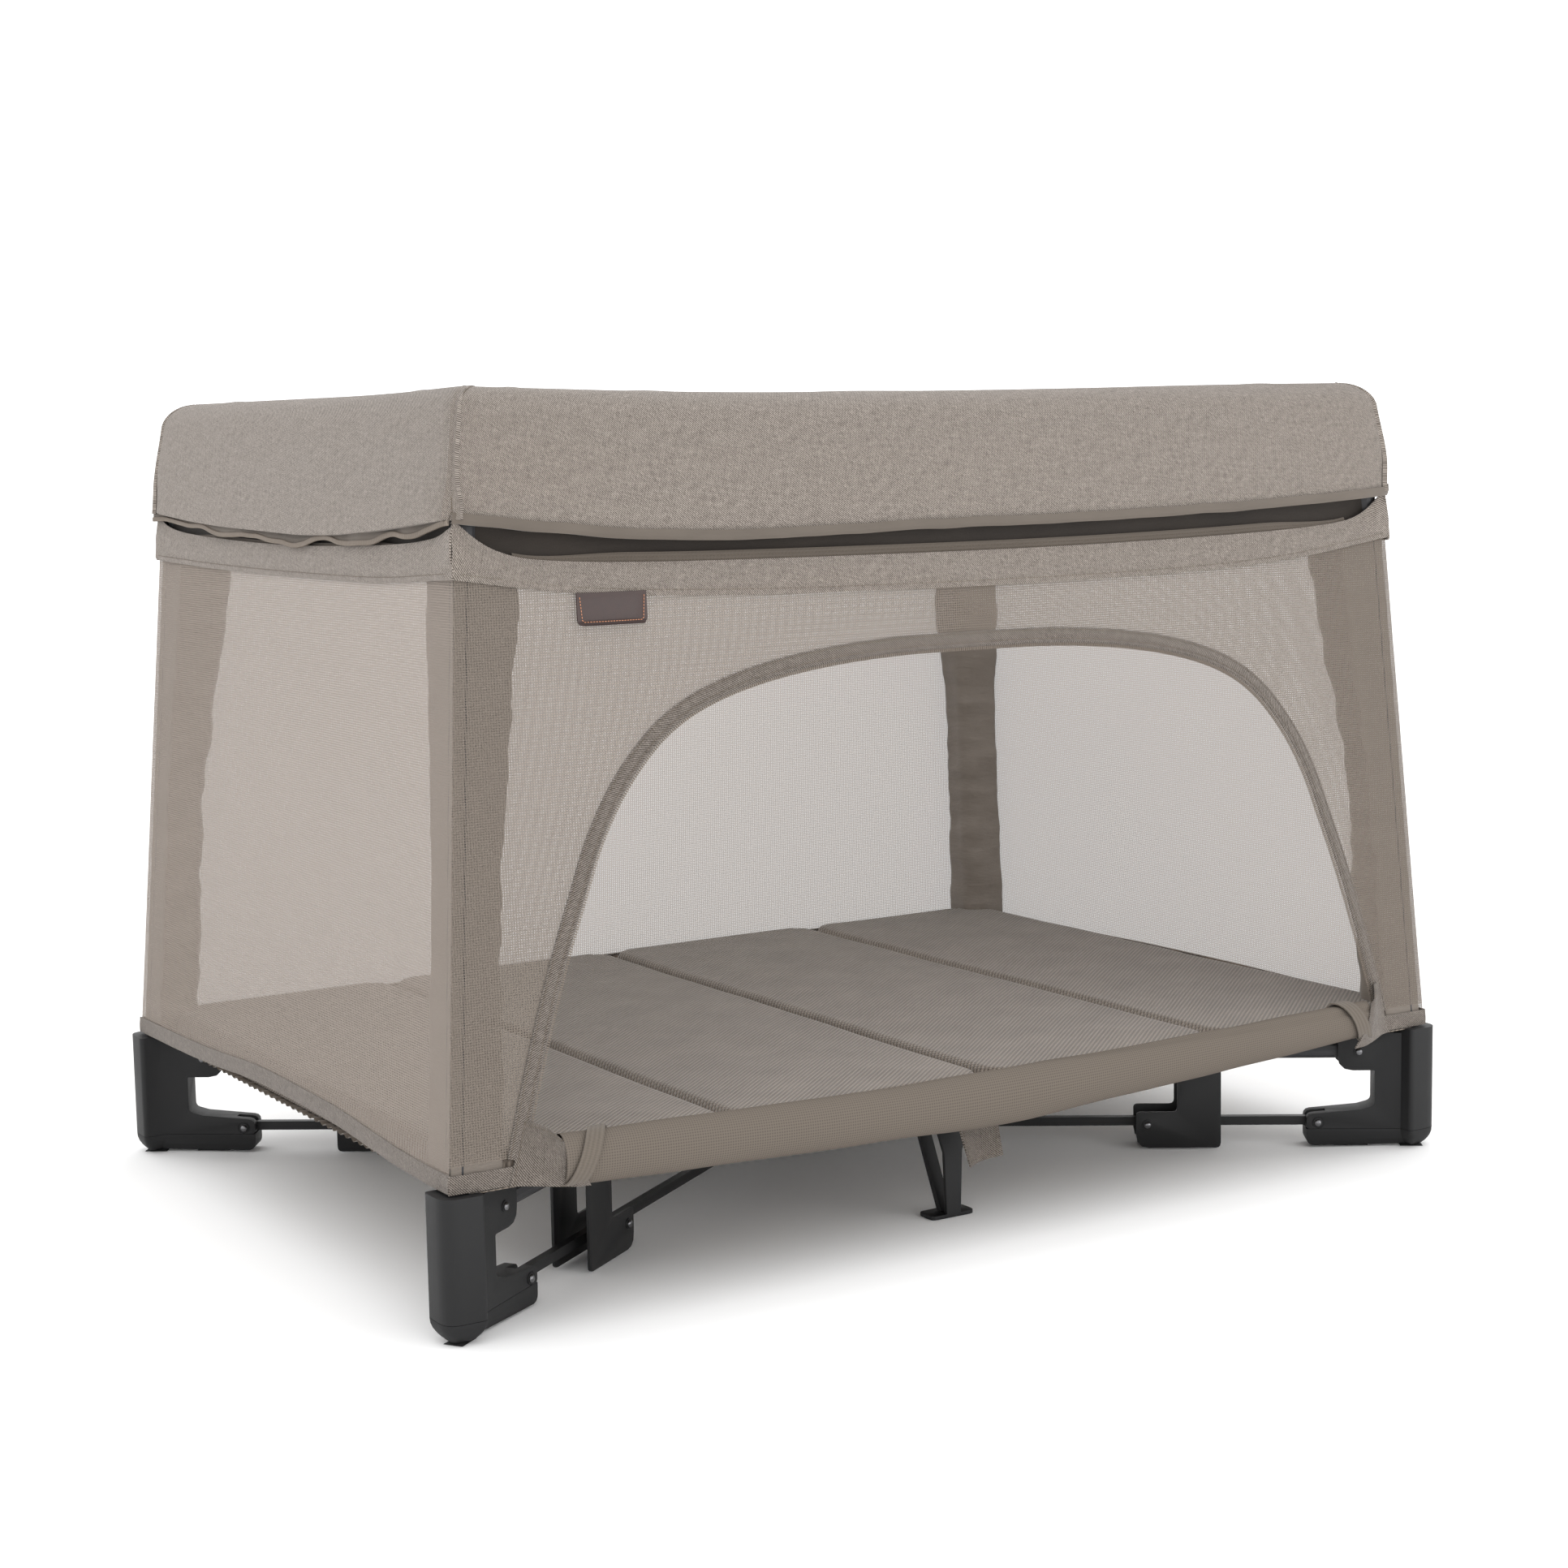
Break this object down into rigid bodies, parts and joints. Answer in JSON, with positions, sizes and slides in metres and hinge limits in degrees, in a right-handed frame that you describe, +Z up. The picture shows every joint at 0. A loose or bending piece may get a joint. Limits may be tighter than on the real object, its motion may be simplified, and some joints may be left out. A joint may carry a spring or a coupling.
{
  "type": "travel playpen",
  "caption": "Folding travel playpen with a padded top rail, mesh walls, an arched side door rolled down, a folding mattress and a corner frame that gathers to its centre.",
  "frame": {"origin": "On the floor, under the middle of the centre hub.", "axes": "+Z up, X along the long sides, -Y out through the door side."},
  "size_m": [1.1, 0.79, 0.768],
  "materials": {
    "charcoal_plastic": "matte",
    "sole_rubber": "matte",
    "black_steel": "satin",
    "frame_tube": "satin",
    "latch_plastic": "matte",
    "button_plastic": "satin",
    "mesh_fabric": "matte",
    "twill_fabric": "matte",
    "knit_fabric": "matte",
    "lining_fabric": "matte",
    "brown_leather": "satin"
  },
  "bodies": {
    "corner_fl": {"corner_foot_fl": "charcoal_plastic", "foot_sole_fl": "sole_rubber", "corner_post_fl": "frame_tube", "corner_joint_fl": "latch_plastic", "wall_front": "mesh_fabric", "wall_back": "mesh_fabric", "wall_left": "mesh_fabric", "wall_right": "mesh_fabric", "rail_cover": "twill_fabric", "floor_cloth": "lining_fabric", "mattress": "knit_fabric", "door_roll": "mesh_fabric", "leather_label": "brown_leather"},
    "arm_fl": {"upper_tube_fl": "frame_tube"},
    "hub": {"hub_body": "latch_plastic"},
    "arm_fr": {"upper_tube_fr": "frame_tube"},
    "corner_fr": {"corner_foot_fr": "charcoal_plastic", "foot_sole_fr": "sole_rubber", "corner_post_fr": "frame_tube", "corner_joint_fr": "latch_plastic"},
    "arm_bl": {"upper_tube_bl": "frame_tube"},
    "corner_bl": {"corner_foot_bl": "charcoal_plastic", "foot_sole_bl": "sole_rubber", "corner_post_bl": "frame_tube", "corner_joint_bl": "latch_plastic"},
    "arm_br": {"upper_tube_br": "frame_tube"},
    "corner_br": {"corner_foot_br": "charcoal_plastic", "foot_sole_br": "sole_rubber", "corner_post_br": "frame_tube", "corner_joint_br": "latch_plastic"},
    "bar_fl": {"lower_bar_fl": "black_steel"},
    "bracket_fl": {"mid_bracket_fl": "black_steel"},
    "rail_long_fl": {"long_rail_fl": "frame_tube"},
    "rail_short_fl": {"short_rail_fl": "frame_tube"},
    "bar_fr": {"lower_bar_fr": "black_steel"},
    "bracket_fr": {"mid_bracket_fr": "black_steel"},
    "rail_long_fr": {"long_rail_fr": "frame_tube"},
    "rail_short_fr": {"short_rail_fr": "frame_tube"},
    "bar_bl": {"lower_bar_bl": "black_steel"},
    "bracket_bl": {"mid_bracket_bl": "black_steel"},
    "rail_long_bl": {"long_rail_bl": "frame_tube"},
    "rail_short_bl": {"short_rail_bl": "frame_tube"},
    "bar_br": {"lower_bar_br": "black_steel"},
    "bracket_br": {"mid_bracket_br": "black_steel"},
    "rail_long_br": {"long_rail_br": "frame_tube"},
    "rail_short_br": {"short_rail_br": "frame_tube"},
    "latch_front": {"rail_latch_front": "latch_plastic"},
    "button_front": {"latch_button_front": "button_plastic"},
    "latch_back": {"rail_latch_back": "latch_plastic"},
    "button_back": {"latch_button_back": "button_plastic"},
    "latch_left": {"rail_latch_left": "latch_plastic"},
    "button_left": {"latch_button_left": "button_plastic"},
    "latch_right": {"rail_latch_right": "latch_plastic"},
    "button_right": {"latch_button_right": "button_plastic"},
    "strut_front": {"leg_strut_front": "black_steel"},
    "leg_front": {"mid_leg_front": "black_steel"},
    "strut_back": {"leg_strut_back": "black_steel"},
    "leg_back": {"mid_leg_back": "black_steel"}
  },
  "joints": [
    {"name": "fold", "type": "hinge", "parent": "corner_fl", "child": "arm_fl", "pos_m": [-0.48571, -0.33794, 0.099], "axis": [0.5711, -0.8209, 0], "range_deg": [0, 78], "deforming": ["wall_front", "wall_back", "wall_left", "wall_right", "rail_cover", "floor_cloth", "mattress", "door_roll", "leather_label"]},
    {"name": "hub_level", "type": "hinge", "parent": "arm_fl", "child": "hub", "pos_m": [-0.06977, -0.04855, 0.099], "axis": [0.5711, -0.8209, 0], "range_deg": [-78, 0]},
    {"name": "arm_fr_swing", "type": "hinge", "parent": "hub", "child": "arm_fr", "pos_m": [0.06977, -0.04855, 0.099], "axis": [0.5711, 0.8209, 0], "range_deg": [0, 78]},
    {"name": "corner_fr_level", "type": "hinge", "parent": "arm_fr", "child": "corner_fr", "pos_m": [0.48571, -0.33794, 0.099], "axis": [0.5711, 0.8209, 0], "range_deg": [-78, 0]},
    {"name": "arm_bl_swing", "type": "hinge", "parent": "hub", "child": "arm_bl", "pos_m": [-0.06977, 0.04855, 0.099], "axis": [-0.5711, -0.8209, 0], "range_deg": [0, 78]},
    {"name": "corner_bl_level", "type": "hinge", "parent": "arm_bl", "child": "corner_bl", "pos_m": [-0.48571, 0.33794, 0.099], "axis": [-0.5711, -0.8209, 0], "range_deg": [-78, 0]},
    {"name": "arm_br_swing", "type": "hinge", "parent": "hub", "child": "arm_br", "pos_m": [0.06977, 0.04855, 0.099], "axis": [-0.5711, 0.8209, 0], "range_deg": [0, 78]},
    {"name": "corner_br_level", "type": "hinge", "parent": "arm_br", "child": "corner_br", "pos_m": [0.48571, 0.33794, 0.099], "axis": [-0.5711, 0.8209, 0], "range_deg": [-78, 0]},
    {"name": "bar_fl_swing", "type": "hinge", "parent": "corner_fl", "child": "bar_fl", "pos_m": [-0.45247, -0.31482, 0.0255], "axis": [0.5711, -0.8209, 0], "range_deg": [0, 78]},
    {"name": "bracket_fl_level", "type": "hinge", "parent": "arm_fl", "child": "bracket_fl", "pos_m": [-0.34419, -0.23948, 0.099], "axis": [0.5711, -0.8209, 0], "range_deg": [-78, 0]},
    {"name": "rail_long_fl_drop", "type": "hinge", "parent": "corner_fl", "child": "rail_long_fl", "pos_m": [-0.45337, -0.33047, 0.741], "axis": [0, 1, 0], "range_deg": [0, 78]},
    {"name": "rail_short_fl_drop", "type": "hinge", "parent": "corner_fl", "child": "rail_short_fl", "pos_m": [-0.48337, -0.30847, 0.741], "axis": [-1, 0, 0], "range_deg": [0, 78]},
    {"name": "bar_fr_swing", "type": "hinge", "parent": "corner_fr", "child": "bar_fr", "pos_m": [0.45247, -0.31482, 0.0255], "axis": [0.5711, 0.8209, 0], "range_deg": [0, 78]},
    {"name": "bracket_fr_level", "type": "hinge", "parent": "arm_fr", "child": "bracket_fr", "pos_m": [0.34419, -0.23948, 0.099], "axis": [0.5711, 0.8209, 0], "range_deg": [-78, 0]},
    {"name": "rail_long_fr_drop", "type": "hinge", "parent": "corner_fr", "child": "rail_long_fr", "pos_m": [0.45337, -0.33047, 0.741], "axis": [0, -1, 0], "range_deg": [0, 78]},
    {"name": "rail_short_fr_drop", "type": "hinge", "parent": "corner_fr", "child": "rail_short_fr", "pos_m": [0.48337, -0.30847, 0.741], "axis": [-1, 0, 0], "range_deg": [0, 78]},
    {"name": "bar_bl_swing", "type": "hinge", "parent": "corner_bl", "child": "bar_bl", "pos_m": [-0.45247, 0.31482, 0.0255], "axis": [-0.5711, -0.8209, 0], "range_deg": [0, 78]},
    {"name": "bracket_bl_level", "type": "hinge", "parent": "arm_bl", "child": "bracket_bl", "pos_m": [-0.34419, 0.23948, 0.099], "axis": [-0.5711, -0.8209, 0], "range_deg": [-78, 0]},
    {"name": "rail_long_bl_drop", "type": "hinge", "parent": "corner_bl", "child": "rail_long_bl", "pos_m": [-0.45337, 0.33047, 0.741], "axis": [0, 1, 0], "range_deg": [0, 78]},
    {"name": "rail_short_bl_drop", "type": "hinge", "parent": "corner_bl", "child": "rail_short_bl", "pos_m": [-0.48337, 0.30847, 0.741], "axis": [1, 0, 0], "range_deg": [0, 78]},
    {"name": "bar_br_swing", "type": "hinge", "parent": "corner_br", "child": "bar_br", "pos_m": [0.45247, 0.31482, 0.0255], "axis": [-0.5711, 0.8209, 0], "range_deg": [0, 78]},
    {"name": "bracket_br_level", "type": "hinge", "parent": "arm_br", "child": "bracket_br", "pos_m": [0.34419, 0.23948, 0.099], "axis": [-0.5711, 0.8209, 0], "range_deg": [-78, 0]},
    {"name": "rail_long_br_drop", "type": "hinge", "parent": "corner_br", "child": "rail_long_br", "pos_m": [0.45337, 0.33047, 0.741], "axis": [0, -1, 0], "range_deg": [0, 78]},
    {"name": "rail_short_br_drop", "type": "hinge", "parent": "corner_br", "child": "rail_short_br", "pos_m": [0.48337, 0.30847, 0.741], "axis": [1, 0, 0], "range_deg": [0, 78]},
    {"name": "latch_front_level", "type": "hinge", "parent": "rail_long_fl", "child": "latch_front", "pos_m": [-0.03743, -0.33047, 0.741], "axis": [0, 1, 0], "range_deg": [-78, 0]},
    {"name": "button_front_press", "type": "slide", "parent": "latch_front", "child": "button_front", "axis": [0, 0, 1], "range_m": [0, 0.004], "stiffness_N_per_m": 300, "springref_m": -0.0015},
    {"name": "latch_back_level", "type": "hinge", "parent": "rail_long_bl", "child": "latch_back", "pos_m": [-0.03743, 0.33047, 0.741], "axis": [0, 1, 0], "range_deg": [-78, 0]},
    {"name": "button_back_press", "type": "slide", "parent": "latch_back", "child": "button_back", "axis": [0, 0, 1], "range_m": [0, 0.004], "stiffness_N_per_m": 300, "springref_m": -0.0015},
    {"name": "latch_left_level", "type": "hinge", "parent": "rail_short_fl", "child": "latch_left", "pos_m": [-0.48337, -0.01907, 0.741], "axis": [-1, 0, 0], "range_deg": [-78, 0]},
    {"name": "button_left_press", "type": "slide", "parent": "latch_left", "child": "button_left", "axis": [0, 0, 1], "range_m": [0, 0.004], "stiffness_N_per_m": 300, "springref_m": -0.0015},
    {"name": "latch_right_level", "type": "hinge", "parent": "rail_short_fr", "child": "latch_right", "pos_m": [0.48337, -0.01907, 0.741], "axis": [-1, 0, 0], "range_deg": [-78, 0]},
    {"name": "button_right_press", "type": "slide", "parent": "latch_right", "child": "button_right", "axis": [0, 0, 1], "range_m": [0, 0.004], "stiffness_N_per_m": 300, "springref_m": -0.0015},
    {"name": "strut_front_drop", "type": "hinge", "parent": "hub", "child": "strut_front", "pos_m": [0, -0.024, 0.105], "axis": [1, 0, 0], "range_deg": [0, 78]},
    {"name": "leg_front_level", "type": "hinge", "parent": "strut_front", "child": "leg_front", "pos_m": [0, -0.3046, 0.105], "axis": [1, 0, 0], "range_deg": [-78, 0]},
    {"name": "strut_back_drop", "type": "hinge", "parent": "hub", "child": "strut_back", "pos_m": [0, 0.024, 0.105], "axis": [-1, 0, 0], "range_deg": [0, 78]},
    {"name": "leg_back_level", "type": "hinge", "parent": "strut_back", "child": "leg_back", "pos_m": [0, 0.3046, 0.105], "axis": [-1, 0, 0], "range_deg": [-78, 0]}
  ],
  "couplings": [
    {"joint": "hub_level", "follows": "fold", "ratio": -1},
    {"joint": "arm_fr_swing", "follows": "fold", "ratio": 1},
    {"joint": "corner_fr_level", "follows": "fold", "ratio": -1},
    {"joint": "arm_bl_swing", "follows": "fold", "ratio": 1},
    {"joint": "corner_bl_level", "follows": "fold", "ratio": -1},
    {"joint": "arm_br_swing", "follows": "fold", "ratio": 1},
    {"joint": "corner_br_level", "follows": "fold", "ratio": -1},
    {"joint": "bar_fl_swing", "follows": "fold", "ratio": 1},
    {"joint": "bracket_fl_level", "follows": "fold", "ratio": -1},
    {"joint": "rail_long_fl_drop", "follows": "fold", "ratio": 1},
    {"joint": "rail_short_fl_drop", "follows": "fold", "ratio": 1},
    {"joint": "bar_fr_swing", "follows": "fold", "ratio": 1},
    {"joint": "bracket_fr_level", "follows": "fold", "ratio": -1},
    {"joint": "rail_long_fr_drop", "follows": "fold", "ratio": 1},
    {"joint": "rail_short_fr_drop", "follows": "fold", "ratio": 1},
    {"joint": "bar_bl_swing", "follows": "fold", "ratio": 1},
    {"joint": "bracket_bl_level", "follows": "fold", "ratio": -1},
    {"joint": "rail_long_bl_drop", "follows": "fold", "ratio": 1},
    {"joint": "rail_short_bl_drop", "follows": "fold", "ratio": 1},
    {"joint": "bar_br_swing", "follows": "fold", "ratio": 1},
    {"joint": "bracket_br_level", "follows": "fold", "ratio": -1},
    {"joint": "rail_long_br_drop", "follows": "fold", "ratio": 1},
    {"joint": "rail_short_br_drop", "follows": "fold", "ratio": 1},
    {"joint": "latch_front_level", "follows": "fold", "ratio": -1},
    {"joint": "latch_back_level", "follows": "fold", "ratio": -1},
    {"joint": "latch_left_level", "follows": "fold", "ratio": -1},
    {"joint": "latch_right_level", "follows": "fold", "ratio": -1},
    {"joint": "strut_front_drop", "follows": "fold", "ratio": 1},
    {"joint": "leg_front_level", "follows": "fold", "ratio": -1},
    {"joint": "strut_back_drop", "follows": "fold", "ratio": 1},
    {"joint": "leg_back_level", "follows": "fold", "ratio": -1}
  ]
}
